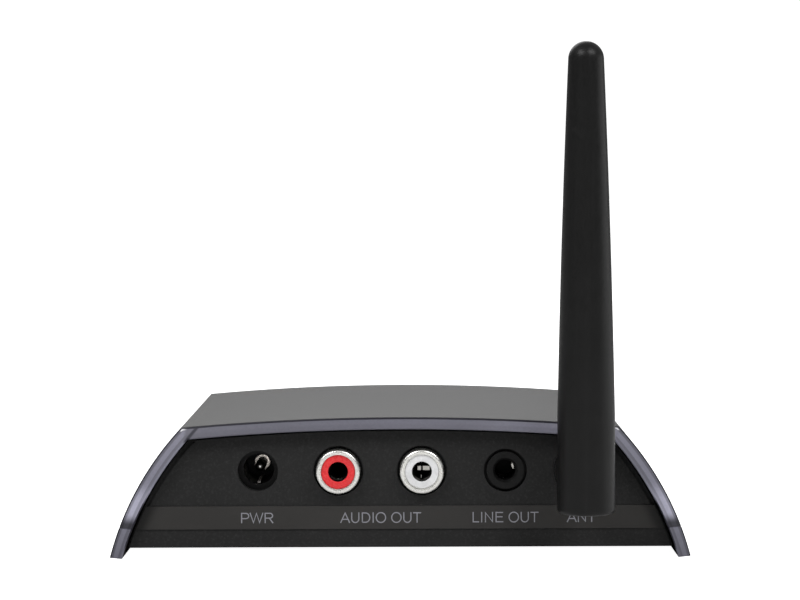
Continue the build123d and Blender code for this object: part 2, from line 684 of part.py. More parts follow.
def write_parts():
    red = make_phono(RED_X)
    white = make_phono(WHITE_X)
    parts = {
        "top_cover": make_cover(),
        "base_tray": make_tray(),
        "rear_panel": make_rear_panel(),
        "front_panel": make_front_panel(),
        "rubber_feet": make_feet(),
        "cover_screws": make_cover_screws(),
        "main_board": make_board(),
        "board_screws": make_board_screws(),
        "power_jack_body": make_power_jack(),
        "power_jack_pin": make_power_pin(),
        "power_jack_spring": make_power_spring(),
        "line_jack_body": make_line_jack(),
        "line_jack_contacts": make_line_contacts(),
        "antenna_bushing": make_bushing(),
        "bushing_nut": make_bushing_nut(),
        "swivel_washer": make_spring_washer(),
        "swivel_clip": make_clip(),
        "antenna_knuckle": make_knuckle(),
        "hinge_pin": make_hinge_pin(),
        "antenna_sleeve": make_sleeve(),
        "antenna_element": make_element(),
        "antenna_lead": make_lead(),
        "lead_connector": make_lead_connector(),
        "radio_module": make_module(),
        "radio_chip": make_module_chip(),
        "radio_shield": make_shield(),
        "audio_converter": on_board(0, -13, (7, 7, 1.2)),
        "output_amplifier": on_board(3.5, 5.5, (5, 4, 1.6)),
        "voltage_regulator": on_board(20, 2.5, (6.5, 3.6, 1.7)),
        "inductor": make_inductor(),
        "crystal": on_board(-10, -13, (3.2, 5.0, 1.2)),
        "capacitors": make_capacitors(),
        "chip_parts": make_chip_parts(),
        "pair_button": make_button(),
        "switch_plunger": make_plunger(),
        "pair_switch": make_switch(),
        "light_pipe": make_light_pipe(),
        "status_lamp": on_board(LAMP_X, BOARD_FRONT_Y + 3.3, LAMP),
    }
    for name in ("housing", "shell", "insert", "contact"):
        parts["phono_" + name + "_red"] = red[name]
        parts["phono_" + name + "_white"] = white[name]
    os.makedirs("parts", exist_ok=True)
    for name, shape in parts.items():
        shape.label = name
        export_step(shape, "parts/" + name + ".step")


write_parts()
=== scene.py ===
"""Looks of the Bluetooth audio receiver: materials, detailed pieces, floor, lights and camera.

Metres, +Z up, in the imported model's frame. The sockets face +Y and the pair button faces -Y.
The object's lengths are written in millimetres and multiplied by MM where Blender takes them.
"""
import json
from math import atan2, cos, pi, radians, sin

import bmesh
import bpy
from mathutils import Matrix, Vector


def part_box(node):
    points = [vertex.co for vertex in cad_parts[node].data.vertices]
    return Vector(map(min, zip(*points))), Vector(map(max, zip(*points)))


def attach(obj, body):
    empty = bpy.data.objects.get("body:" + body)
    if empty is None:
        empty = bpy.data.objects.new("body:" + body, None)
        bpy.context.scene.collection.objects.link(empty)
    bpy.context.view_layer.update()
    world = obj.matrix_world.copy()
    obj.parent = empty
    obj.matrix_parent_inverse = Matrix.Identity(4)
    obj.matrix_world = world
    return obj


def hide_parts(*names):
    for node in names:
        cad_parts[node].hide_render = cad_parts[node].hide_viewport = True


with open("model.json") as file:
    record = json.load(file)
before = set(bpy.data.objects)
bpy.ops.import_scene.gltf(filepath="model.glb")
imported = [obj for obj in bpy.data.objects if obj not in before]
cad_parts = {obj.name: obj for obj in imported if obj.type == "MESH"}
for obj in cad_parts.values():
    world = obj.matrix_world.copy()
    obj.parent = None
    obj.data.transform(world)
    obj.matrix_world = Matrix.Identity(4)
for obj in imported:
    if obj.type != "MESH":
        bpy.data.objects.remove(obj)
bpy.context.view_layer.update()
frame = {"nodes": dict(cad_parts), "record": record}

MM = 0.001
NODES = frame["nodes"]

# ---- the cover's section, as in the CAD ----
# half widths at the foot and the shoulder, heights of shoulder and crown, and how far a leg bows out
OUTER = {"foot": 54.4, "shoulder": 40.85, "shoulder_z": 24.45, "crown_z": 26.25, "bulge": 1.75}
INNER = {"foot": 51.95, "shoulder": 39.5, "shoulder_z": 22.3, "crown_z": 24.1, "bulge": 1.4}
SIDE_STEPS = 32  # along a leg
TOP_STEPS = 56
BEVEL_DEPTH = 1.3
LAND_SHARE = 0.116  # how far through the wall the flat land reaches
SKIN_SHARE = 0.88  # where the bevel meets the dark outer skin
SEAM_Z = 5.6  # the parting line round each leg
SEAM_DEPTH = 0.16
SEAM_HALF_WIDTH = 0.12  # measured along z
GROOVE_DEPTH = 0.08  # the line between the bevel and the skin
LEG_INNER_X = 49.9  # half the space between the legs at the legend band's lower edge
LEG_LEAN = 0.474  # how far each leg leans inwards per millimetre of height there

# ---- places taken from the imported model, in millimetres ----
cover_low, cover_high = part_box("top_cover")
REAR_Y = cover_high.y / MM
FRONT_Y = cover_low.y / MM
panel_low, panel_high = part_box("rear_panel")
BAND_Y = panel_high.y / MM
BAND_RAISE = 0.25
BAND_LOW_Z = 5.15
PANEL_Y = BAND_Y - BAND_RAISE
power_low, power_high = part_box("power_jack_pin")
red_low, red_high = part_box("phono_shell_red")
white_low, white_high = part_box("phono_shell_white")
line_low, line_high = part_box("line_jack_body")
sleeve_low, sleeve_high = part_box("antenna_sleeve")
POWER_X = (power_low.x + power_high.x) / 2 / MM
SOCKET_Z = (power_low.z + power_high.z) / 2 / MM
RED_X = (red_low.x + red_high.x) / 2 / MM
WHITE_X = (white_low.x + white_high.x) / 2 / MM
LINE_X = (line_low.x + line_high.x) / 2 / MM
ANTENNA_X = (sleeve_low.x + sleeve_high.x) / 2 / MM

# ---- turned pieces of the sockets ----
LATHE_STEPS = 96
WELD = 0.0005  # points closer than this become one
SHELL_R = 4.15  # the phono sockets' plated shells and the inserts in them
SHELL_BORE_R = 3.2
INSERT_R = 3.15
INSERT_BORE_R = 1.85
INSERT_GUIDE = 3.0  # how deep the narrow bore is
INSERT_CAVITY_R = 2.6
INSERT_CAVITY_DEPTH = 11.0
CONTACT_LEAVES = 4  # of the sprung tube in each phono socket
CONTACT_WALL = 0.12
HALF_SLIT = 0.12  # half the gap between two leaves
LEAF_STEPS = 12
# small polished tabs in a contact's mouth: x0, x1, z0, z1 from the socket's middle, and the tilt in degrees
RED_TABS = [(-0.05, 0.10, -1.64, -1.50, 0)]
WHITE_TABS = [(0.15, 0.8, 0.15, 0.95, -14), (-1.45, -0.2, 0.15, 0.95, -14), (0.08, 0.14, -1.25, -0.75, 0)]


# ---------------------------------------------------------------- node helpers
class Graph:
    """A material's node tree, with short calls for the nodes used here."""

    def __init__(self, name):
        self.material = bpy.data.materials.new(name)
        self.material.use_nodes = True
        self.tree = self.material.node_tree
        self.shader = self.tree.nodes["Principled BSDF"]
        self.coordinates = self.tree.nodes.new("ShaderNodeTexCoord").outputs["Object"]

    def node(self, kind, **settings):
        node = self.tree.nodes.new(kind)
        for key, value in settings.items():
            setattr(node, key, value)
        return node

    def link(self, source, target):
        self.tree.links.new(source, target)

    def feed(self, socket, value):
        """Sets a socket to a number or colour, or links it to another socket."""
        if isinstance(value, bpy.types.NodeSocket):
            self.link(value, socket)
        else:
            socket.default_value = value

    def noise(self, scale, detail=3.0, roughness=0.55, source=None):
        """Smooth noise with about `scale` features in a metre."""
        node = self.node("ShaderNodeTexNoise")
        node.inputs["Scale"].default_value = scale
        node.inputs["Detail"].default_value = detail
        node.inputs["Roughness"].default_value = roughness
        self.link(source or self.coordinates, node.inputs["Vector"])
        return node.outputs["Fac"]

    def cells(self, scale):
        """Distance to the nearest of about `scale` scattered points in a metre."""
        node = self.node("ShaderNodeTexVoronoi")
        node.inputs["Scale"].default_value = scale
        self.link(self.coordinates, node.inputs["Vector"])
        return node.outputs["Distance"]

    def stretch(self, x, y, z, source=None):
        node = self.node("ShaderNodeMapping")
        node.inputs["Scale"].default_value = (x, y, z)
        self.link(source or self.coordinates, node.inputs["Vector"])
        return node.outputs["Vector"]

    def axis(self, name, source=None):
        node = self.node("ShaderNodeSeparateXYZ")
        self.link(source or self.coordinates, node.inputs[0])
        return node.outputs[name]

    def maths(self, operation, first, second=0.0, third=None):
        node = self.node("ShaderNodeMath", operation=operation)
        self.feed(node.inputs[0], first)
        self.feed(node.inputs[1], second)
        if third is not None:
            self.feed(node.inputs[2], third)
        return node.outputs[0]

    def times(self, first, second):
        return self.maths("MULTIPLY", first, second)

    def minus(self, first, second):
        return self.maths("SUBTRACT", first, second)

    def blend(self, share, first, second):
        """A number that goes from first at share 0 to second at share 1."""
        return self.maths("MULTIPLY_ADD", self.minus(second, first), share, first)

    def between(self, value, low, high, to_low=0.0, to_high=1.0, smooth=True):
        """Maps value from low..high onto to_low..to_high, held at the ends."""
        node = self.node("ShaderNodeMapRange", clamp=True)
        node.interpolation_type = "SMOOTHSTEP" if smooth else "LINEAR"
        self.feed(node.inputs["Value"], value)
        for key, number in (("From Min", low), ("From Max", high), ("To Min", to_low), ("To Max", to_high)):
            self.feed(node.inputs[key], number)
        return node.outputs["Result"]

    def mix(self, share, first, second):
        node = self.node("ShaderNodeMix", data_type="RGBA")
        self.feed(node.inputs["Factor"], share)
        self.feed(node.inputs[6], first)
        self.feed(node.inputs[7], second)
        return node.outputs[2]

    def dim(self, colour, factor):
        """A colour multiplied by a number."""
        node = self.node("ShaderNodeVectorMath", operation="SCALE")
        self.feed(node.inputs[0], colour)
        self.feed(node.inputs["Scale"], factor)
        return node.outputs[0]

    def bump(self, height, distance, strength=1.0):
        """A bump whose height from 0 to 1 stands for the distance in metres."""
        node = self.node("ShaderNodeBump")
        node.inputs["Distance"].default_value = distance
        node.inputs["Strength"].default_value = strength
        self.link(height, node.inputs["Height"])
        return node.outputs["Normal"]

    def set(self, **values):
        """Sets or links the shader's sockets and gives back the finished material."""
        names = {
            "colour": "Base Color",
            "roughness": "Roughness",
            "metallic": "Metallic",
            "ior": "IOR",
            "specular": "Specular IOR Level",
            "transmission": "Transmission Weight",
            "normal": "Normal",
        }
        for key, value in values.items():
            self.feed(self.shader.inputs[names[key]], value)
        return self.material


def grey(value, warm=0.0):
    """A near-neutral colour; warm above zero moves it from blue towards red."""
    return (value * (1 + warm), value, value * (1 - warm), 1.0)


def tint(colour, factor):
    """A colour made darker or lighter by a factor."""
    return tuple(channel * factor for channel in colour[:3]) + (1.0,)


# ---------------------------------------------------------------- materials
def smoke_skin():
    """The cover's outer face: dark satin acrylic, a little cloudy, with a slow wave in it."""
    g = Graph("smoke_skin")
    broad = g.noise(22, 3)
    wave = g.noise(14, 1)
    return g.set(
        colour=g.mix(g.between(broad, 0.35, 0.65), grey(0.056), grey(0.059)),
        roughness=0.272,
        specular=0.5,
        normal=g.bump(wave, 0.004 * MM, 0.1),
    )


def painted_leg_light(g, height):
    """How light the bevel is at each height, as painted light and shade in the clear plastic: darker
    towards the foot, a dark band of painted shade just above the parting line, a bright band of painted
    light above that, even higher up.
    """
    foot = g.between(height, 0.0, SEAM_Z * MM, 0.62, 0.78, smooth=False)
    # painted shade just above the parting line, rising to a band of painted light that fades higher up
    rise = g.between(height, (SEAM_Z + 0.7) * MM, (SEAM_Z + 2.8) * MM, 0.20, 1.85)
    fall = g.between(height, 10.5 * MM, 14.5 * MM, 1.0, 0.54)
    upper = g.between(height, (SEAM_Z - 0.08) * MM, (SEAM_Z + 0.08) * MM)
    return g.blend(upper, foot, g.times(rise, fall))


def mitre_shade_line(g, height, across):
    """Painted shade where the top's bevel meets a leg's: a thin dark line that leans and bows across the
    corner.
    """
    start_x, slope, curve = 39.6 * MM, -0.70, 60.0
    rise = g.minus(height, INNER["shoulder_z"] * MM)
    lean = g.maths("MULTIPLY_ADD", rise, slope, start_x)
    bow_in = g.times(g.times(rise, rise), curve)
    off = g.maths("ABSOLUTE", g.minus(across, g.minus(lean, bow_in)))
    line = g.between(off, 0.15 * MM, 0.62 * MM, 0.85, 0.0)
    return g.times(line, g.between(height, 21.6 * MM, 22.0 * MM))


def painted_bevel_light(g, share, height, on_leg):
    """Painted light and shade over the bevel, standing in for light inside the clear plastic; share goes
    from the inner face to the outer.
    """
    # painted shade: darker a little way into the wall and over the outer third
    dip = g.between(share, 0.10, 0.24, 0.90, 0.66)
    dip = g.maths("MAXIMUM", dip, g.between(share, 0.27, 0.40))
    outer = g.between(share, 0.68, 0.78, 1.0, 0.55)
    # painted light: the legs lighter than the top
    on_legs = g.times(g.times(dip, outer), 1.66)
    over_top = g.between(share, 0.30, 0.60, 0.92, 1.05)
    # painted light that lifts the bevel beside the antenna, where the antenna shades it, and painted shade
    # towards the power end
    painted_light_near_antenna = g.between(g.axis("X"), -26 * MM, -10 * MM, 1.6, 1.0)
    painted_shade_towards_power = g.between(g.axis("X"), 0.0, 34 * MM, 1.0, 0.9)
    over_top = g.times(over_top, g.times(painted_light_near_antenna, painted_shade_towards_power))
    return g.times(g.blend(on_leg, over_top, on_legs), painted_leg_light(g, height))


def bevel_shadow(g, share, height, across, on_leg):
    """Painted shade on the bevel: dark lines at its outer rim, along the inner edge low on the legs, and at
    the mitre.
    """
    rim_start = g.between(on_leg, 0, 1, 0.82, 0.885, smooth=False)
    rim = g.between(g.minus(share, rim_start), 0.0, 0.02)
    inner = g.times(g.between(share, 0.07, 0.13, 1.0, 0.0), g.between(height, 1.0 * MM, 3.0 * MM))
    inner = g.times(inner, g.between(height, 9.5 * MM, 13.0 * MM, 1.0, 0.0))
    return g.maths("MAXIMUM", rim, g.maths("MAXIMUM", inner, mitre_shade_line(g, height, across)))


def shoulder_glint(g, share, height, on_leg):
    """A painted highlight: a small bright spot at each leg's top corner."""
    spot = g.times(g.between(share, 0.74, 0.78), g.between(share, 0.84, 0.87, 1.0, 0.0))
    spot = g.times(spot, g.between(height, 23.6 * MM, 23.9 * MM))
    spot = g.times(spot, g.between(height, 24.2 * MM, 24.4 * MM, 1.0, 0.0))
    return g.times(spot, on_leg)


def smoke_edge():
    """The cover's bevelled ends: smoked acrylic streaked along the arch, with painted light and shade by
    height, place and depth in the wall, and a painted highlight at each shoulder, standing in for light
    inside the clear plastic.

    The cover's UV is the length along the arch and the share through its wall.
    """
    g = Graph("smoke_edge")
    uv = g.node("ShaderNodeTexCoord").outputs["UV"]
    share = g.axis("Y", uv)
    streaks = g.noise(420, 4, 0.6, source=g.stretch(0.06, 0.002, 1, uv))
    grain = g.noise(2200, 2)
    height = g.axis("Z")
    across = g.maths("ABSOLUTE", g.axis("X"))
    on_leg = g.between(across, 39.6 * MM, 40.6 * MM)
    violet, pale_violet = (0.128, 0.126, 0.158, 1), (0.150, 0.148, 0.182, 1)
    # shadow is the colour of the painted shade lines, bright the colour of the painted highlight at the
    # shoulders
    speck, shadow, bright = (0.20, 0.20, 0.24, 1), (0.012, 0.011, 0.020, 1), (0.85, 0.85, 0.88, 1)
    body = g.mix(g.between(streaks, 0.3, 0.7), violet, pale_violet)
    body = g.mix(g.between(grain, 0.35, 0.65, 0.0, 0.15), body, speck)
    body = g.dim(body, painted_bevel_light(g, share, height, on_leg))
    body = g.mix(bevel_shadow(g, share, height, across, on_leg), body, shadow)
    return g.set(
        colour=g.mix(shoulder_glint(g, share, height, on_leg), body, bright),
        roughness=g.between(streaks, 0.3, 0.7, 0.36, 0.46),
        specular=0.35,
        normal=g.bump(streaks, 0.03 * MM, 0.3),
    )


def moulded_black(name, shade, roughness, grain_scale, grain_height, specular=0.3):
    """Black moulded plastic with a fine spark-eroded grain, its height in millimetres."""
    g = Graph(name)
    grain = g.noise(grain_scale, 3, 0.6)
    pits = g.cells(grain_scale * 0.6)
    patches = g.noise(45, 3)
    relief = g.maths("MULTIPLY_ADD", pits, 0.5, grain)
    worn = g.mix(g.between(patches, 0.35, 0.65), grey(shade), grey(shade * 1.18))
    return g.set(
        colour=g.mix(g.between(grain, 0.45, 0.75, 0.0, 0.6), worn, grey(shade * 1.7)),
        roughness=g.between(patches, 0.3, 0.7, roughness, min(1.0, roughness + 0.06)),
        specular=specular,
        normal=g.bump(relief, grain_height * MM, 1.0),
    )


def rear_panel_black():
    """Textured black plate whose raised legend band is smooth and a little browner, with painted shade at
    its ends beside the legs, and darker towards its lower edge.
    """
    g = Graph("rear_panel_black")
    height = g.axis("Z")
    # on the raised face; towards its lower edge it mixes part way back to the field's darker colour
    on_band = g.times(
        g.between(g.axis("Y"), (PANEL_Y + 0.3 * BAND_RAISE) * MM, (PANEL_Y + 0.8 * BAND_RAISE) * MM),
        g.between(height, (BAND_LOW_Z - 0.15) * MM, (BAND_LOW_Z + 0.2) * MM, 0.35, 1.0),
    )
    grain = g.noise(2600, 3, 0.6)
    pits = g.cells(1500)
    patches = g.noise(40, 3)
    relief = g.times(g.maths("MULTIPLY_ADD", pits, 0.5, grain), g.between(on_band, 0, 1, 1.0, 0.12))
    field = g.mix(g.between(patches, 0.35, 0.65), grey(0.0140), grey(0.0165))
    field = g.mix(g.between(grain, 0.45, 0.78, 0.0, 0.6), field, grey(0.032))
    band = g.mix(g.between(patches, 0.35, 0.65), grey(0.031, 0.05), grey(0.036, 0.05))
    # painted shade: the band darkens towards each leg, where the cover shades it
    leg_x = g.maths("MULTIPLY_ADD", height, -LEG_LEAN, (LEG_INNER_X + LEG_LEAN * BAND_LOW_Z) * MM)
    inset = g.minus(leg_x, g.maths("ABSOLUTE", g.axis("X")))
    band = g.dim(band, g.between(inset, 0.6 * MM, 3.2 * MM, 0.30, 1.0))
    return g.set(
        colour=g.mix(on_band, field, band),
        roughness=g.between(on_band, 0, 1, 0.62, 0.45),
        specular=0.25,
        normal=g.bump(relief, 0.03 * MM, 1.0),
    )


def antenna_black():
    """Satin plastic with a fine grain and faint lengthwise drag marks."""
    g = Graph("antenna_black")
    grain = g.noise(3000, 3, 0.6)
    drag = g.noise(900, 3, source=g.stretch(1, 1, 0.05))
    patches = g.noise(70, 3)
    relief = g.maths("MULTIPLY_ADD", drag, 0.6, grain)
    body = g.mix(g.between(patches, 0.35, 0.65), grey(0.0050), grey(0.0065))
    return g.set(
        colour=g.mix(g.between(drag, 0.5, 0.8, 0.0, 0.5), body, grey(0.010)),
        roughness=g.between(grain, 0.3, 0.7, 0.34, 0.42),
        specular=0.26,
        normal=g.bump(relief, 0.006 * MM, 1.0),
    )


def metal(name, colour, roughness, brushed=0.0, tarnish=0.35, marked=0.35):
    """Plated metal with fine turning or rolling marks and dull spots."""
    g = Graph(name)
    marks = g.noise(2400, 3, source=g.stretch(1, 0.15 if brushed else 1.0, 1))
    spots = g.noise(500, 4)
    worn = g.mix(g.between(spots, 0.45, 0.8, 0.0, tarnish), colour, tint(colour, 0.68))
    return g.set(
        colour=worn,
        metallic=1.0,
        roughness=g.between(marks, 0.3, 0.7, roughness * 0.8, roughness * 1.25),
        normal=g.bump(marks, 0.004 * MM, marked + brushed),
    )


def glossy_plastic(name, colour, roughness=0.28):
    """Moulded insert plastic with slight flow marks."""
    g = Graph(name)
    flow = g.noise(350, 3)
    grain = g.noise(1800, 2)
    return g.set(
        colour=g.mix(g.between(flow, 0.35, 0.7), colour, tint(colour, 0.86)),
        roughness=g.between(grain, 0.3, 0.7, roughness * 0.85, roughness * 1.15),
        specular=0.5,
        normal=g.bump(grain, 0.006 * MM, 0.5),
    )


def rubber():
    """Dull black rubber, grained and a little dusty."""
    g = Graph("foot_rubber")
    grain = g.noise(1400, 4, 0.7)
    dust = g.noise(120, 4)
    return g.set(
        colour=g.mix(g.between(dust, 0.45, 0.75), grey(0.020), grey(0.045)),
        roughness=g.between(grain, 0.3, 0.7, 0.8, 0.95),
        specular=0.2,
        normal=g.bump(grain, 0.03 * MM, 0.8),
    )


def board_green():
    """Green solder mask with darker tracks and a faint glass weave."""
    g = Graph("board_green")
    weave = g.node("ShaderNodeTexChecker")
    weave.inputs["Scale"].default_value = 1200
    g.link(g.coordinates, weave.inputs["Vector"])
    tracks = g.cells(420)
    mask = g.mix(g.between(tracks, 0.18, 0.24), (0.02, 0.16, 0.06, 1), (0.01, 0.09, 0.035, 1))
    return g.set(
        colour=mask,
        roughness=0.35,
        normal=g.bump(weave.outputs["Fac"], 0.01 * MM, 0.3),
    )


def clear_plastic():
    """Frosted clear rod with a cool tint."""
    g = Graph("clear_plastic")
    haze = g.noise(900, 3)
    return g.set(
        colour=g.mix(haze, (0.62, 0.72, 0.85, 1), (0.80, 0.88, 0.95, 1)),
        roughness=g.between(haze, 0.3, 0.7, 0.22, 0.34),
        transmission=0.75,
        ior=1.49,
        normal=g.bump(haze, 0.01 * MM, 0.4),
    )


def ink():
    """The printed legends: flat grey ink, a little uneven."""
    g = Graph("legend_ink")
    patches = g.noise(900, 3)
    return g.set(
        colour=g.mix(patches, (0.25, 0.25, 0.28, 1), (0.31, 0.31, 0.34, 1)),
        roughness=0.6,
        specular=0.2,
        normal=g.bump(patches, 0.01 * MM, 0.4),
    )


SKIN = smoke_skin()
EDGE = smoke_edge()
INSIDE = moulded_black("cover_inside", 0.006, 0.6, 1500, 0.02, 0.15)
PANEL = rear_panel_black()
FACIA = moulded_black("facia_black", 0.017, 0.62, 2600, 0.03, 0.25)
TRAY = moulded_black("tray_black", 0.015, 0.68, 1700, 0.04, 0.25)
JACK = moulded_black("jack_black", 0.0055, 0.42, 900, 0.006, 0.2)
CHIP = moulded_black("chip_black", 0.02, 0.6, 1800, 0.01)
BUTTON = moulded_black("button_black", 0.018, 0.36, 1500, 0.006, 0.4)
ANTENNA = antenna_black()
RUBBER = rubber()
NICKEL = metal("nickel", (0.97, 0.96, 0.92, 1), 0.30, tarnish=0.06, marked=0.06)
# plated metal darkened to near black: painted shade for the pins and leaves deep inside the sockets
SHADED_METAL = metal("shaded_dark_metal", (0.045, 0.043, 0.040, 1), 0.35)
COLLAR = metal("pin_collar", (0.95, 0.88, 0.80, 1), 0.25)
# painted shade: contact metal darkened so the inlet's spring shows only a faint glint
SHADED_CONTACT = metal("shaded_contact_metal", (0.20, 0.19, 0.18, 1), 0.3)
BORE = moulded_black("bore_black", 0.003, 0.5, 900, 0.004, 0.2)
CONTACT = metal("contact_metal", (0.62, 0.60, 0.56, 1), 0.2)
STEEL = metal("screw_steel", (0.45, 0.45, 0.46, 1), 0.35, brushed=0.3)
BRASS = metal("brass", (0.72, 0.52, 0.26, 1), 0.3, brushed=0.2)
SHIELD = metal("shield_metal", (0.66, 0.67, 0.68, 1), 0.3, brushed=0.4)
CAN = metal("can_metal", (0.55, 0.58, 0.62, 1), 0.28, tarnish=0.55)
RED = glossy_plastic("insert_red", (0.88, 0.030, 0.036, 1))
WHITE = glossy_plastic("insert_white", (0.90, 0.90, 0.91, 1))
BOARD = board_green()
CLEAR = clear_plastic()
LEAD = glossy_plastic("lead_jacket", (0.03, 0.03, 0.032, 1), 0.45)
INK = ink()

CAD_MATERIALS = {  # by the record's material slot
    "smoke_cover": SKIN,
    "panel_black": FACIA,
    "tray_black": TRAY,
    "foot_rubber": RUBBER,
    "screw_steel": STEEL,
    "board_green": BOARD,
    "jack_black": JACK,
    "nickel": NICKEL,
    "insert_red": RED,
    "insert_white": WHITE,
    "contact_metal": CONTACT,
    "antenna_black": ANTENNA,
    "brass": BRASS,
    "chip_black": CHIP,
    "shield_metal": SHIELD,
    "can_metal": CAN,
    "clear": CLEAR,
    "lead_jacket": LEAD,
    "button_black": BUTTON,
}


def dress_cad_nodes():
    """Gives each CAD node the material made for its slot in the record."""
    for row in frame["record"]["subparts"]:
        mesh = NODES[row["node"]].data
        mesh.materials.clear()
        mesh.materials.append(CAD_MATERIALS[row["material_slot"]])
        for polygon in mesh.polygons:
            polygon.material_index = 0
    NODES["rear_panel"].data.materials[0] = PANEL
    # the inlet's spring gets the darkened contact metal, painted shade
    NODES["power_jack_spring"].data.materials[0] = SHADED_CONTACT


# ---------------------------------------------------------------- mesh helpers
def new_object(name, mesh_builder, materials, sharp_angle=35):
    """Turns a bmesh into an object with smooth faces and sharp creases."""
    mesh = bpy.data.meshes.new(name)
    limit = radians(sharp_angle)
    bmesh.ops.recalc_face_normals(mesh_builder, faces=mesh_builder.faces)
    for face in mesh_builder.faces:
        face.smooth = True
    for edge in mesh_builder.edges:
        if len(edge.link_faces) == 2:
            edge.smooth = edge.calc_face_angle(0.0) < limit
    mesh_builder.to_mesh(mesh)
    mesh_builder.free()
    for material in materials:
        mesh.materials.append(material)
    piece = bpy.data.objects.new(name, mesh)
    bpy.context.scene.collection.objects.link(piece)
    return piece


def arc(start, end, sagitta, steps):
    """Points of a circular arc that bows to the left of start-to-end by the sagitta."""
    start, end = Vector(start), Vector(end)
    chord = end - start
    half = chord.length / 2
    radius = (half * half + sagitta * sagitta) / (2 * sagitta)
    side = Vector((-chord.y, chord.x)).normalized()
    centre = (start + end) / 2 + side * (sagitta - radius)
    first = start - centre
    sweep = -2 * atan2(half, radius - sagitta)
    points = []
    for step in range(steps + 1):
        turn = sweep * step / steps
        spun = Vector((
            first.x * cos(turn) - first.y * sin(turn),
            first.x * sin(turn) + first.y * cos(turn),
        ))
        points.append(centre + spun)
    return points


def arch_path(size):
    """The arch from the left foot over the top to the right foot, seen from the front."""
    left_foot = (-size["foot"], 0.0)
    left = (-size["shoulder"], size["shoulder_z"])
    right = (size["shoulder"], size["shoulder_z"])
    right_foot = (size["foot"], 0.0)
    up = arc(left_foot, left, size["bulge"], SIDE_STEPS)
    over = arc(left, right, size["crown_z"] - size["shoulder_z"], TOP_STEPS)
    down = arc(right, right_foot, size["bulge"], SIDE_STEPS)
    return with_seam(up) + over[1:-1] + with_seam(down)


def with_seam(leg):
    """Adds three points close together where the parting line crosses a leg's arc."""
    points = []
    for before, after in zip(leg, leg[1:]):
        points.append(before)
        if min(before.y, after.y) < SEAM_Z <= max(before.y, after.y):
            middle = (SEAM_Z - before.y) / (after.y - before.y)
            step = SEAM_HALF_WIDTH / abs(after.y - before.y)
            for offset in (-step, 0.0, step):
                points.append(before.lerp(after, middle + offset))
    return points + [leg[-1]]


def bevel_y(share):
    """Where the rear bevel's slope is at a share through the wall."""
    return REAR_Y - BEVEL_DEPTH * (share - LAND_SHARE) / (1 - LAND_SHARE)


def cover_section():
    """The wall's section as (share through the wall, y, material index) going round once.

    Share 0 is the inner face and 1 the outer face. Each index is for the face up to the next point.
    """
    rear = [
        (0.0, REAR_Y - 0.08, 1),
        (0.035, REAR_Y, 1),
        (LAND_SHARE, REAR_Y, 1),
        (SKIN_SHARE, bevel_y(SKIN_SHARE), 1),
        (SKIN_SHARE + 0.03, bevel_y(SKIN_SHARE + 0.03) - GROOVE_DEPTH, 1),
        (0.975, bevel_y(0.975) - 0.06, 0),
        (1.0, REAR_Y - BEVEL_DEPTH - 0.12, 0),
    ]
    mirrored_kinds = [kind for share, y, kind in reversed(rear[:-1])] + [2]
    front = [
        (share, FRONT_Y + REAR_Y - y, kind)
        for (share, y, _), kind in zip(reversed(rear), mirrored_kinds)
    ]
    return rear + front


def cover_rings(mesh, outer, inner, section):
    """Puts the section's points across the wall at every point along the arch."""
    middle_y = (REAR_Y + FRONT_Y) / 2
    seam_scale = 1 - SEAM_DEPTH / (REAR_Y - middle_y)
    rings = []
    for inside, outside in zip(inner, outer):
        on_seam = abs(outside.y - SEAM_Z) < 0.01
        deepest_share = 1 - SEAM_DEPTH / (outside - inside).length if on_seam else 1.0
        scale_y = seam_scale if on_seam else 1.0
        ring = []
        for share, y, kind in section:
            point = inside.lerp(outside, min(share, deepest_share))
            y = middle_y + (y - middle_y) * scale_y
            ring.append(mesh.verts.new((point.x * MM, y * MM, point.y * MM)))
        rings.append(ring)
    return rings


def lengths_along(points):
    """How far each point is from the first one, along the line through them."""
    travelled = [0.0]
    for before, after in zip(points, points[1:]):
        travelled.append(travelled[-1] + (after - before).length)
    return travelled


def make_cover():
    """The thick arch with bevelled ends, a groove at the skin line that the edge material darkens with
    painted shade, parting lines and black inner walls.
    """
    outer = arch_path(OUTER)
    section = cover_section()
    travelled = lengths_along(outer)
    mesh = bmesh.new()
    uv_layer = mesh.loops.layers.uv.new("along")
    rings = cover_rings(mesh, outer, arch_path(INNER), section)
    for index, (near, far) in enumerate(zip(rings, rings[1:])):
        for corner, (share, y, kind) in enumerate(section):
            following = (corner + 1) % len(section)
            next_share = section[following][0]
            face = mesh.faces.new((near[corner], near[following], far[following], far[corner]))
            face.material_index = kind
            places = (
                (travelled[index], share),
                (travelled[index], next_share),
                (travelled[index + 1], next_share),
                (travelled[index + 1], share),
            )
            for loop, (along, through) in zip(face.loops, places):
                loop[uv_layer].uv = (along * MM, through)
    for ring in (rings[0], rings[-1]):
        face = mesh.faces.new(ring)
        face.material_index = 1
    piece = new_object("cover_shell", mesh, [SKIN, EDGE, INSIDE], 20)
    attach(piece, "housing")
    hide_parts("top_cover")


def round_points(centre, radius, start, end, steps=6):
    """Points of a small arc in (radius, y), angles in degrees, 0 along the radius and 90 along +y."""
    points = []
    for step in range(steps + 1):
        turn = radians(start + (end - start) * step / steps)
        points.append((centre[0] + radius * cos(turn), centre[1] + radius * sin(turn)))
    return points


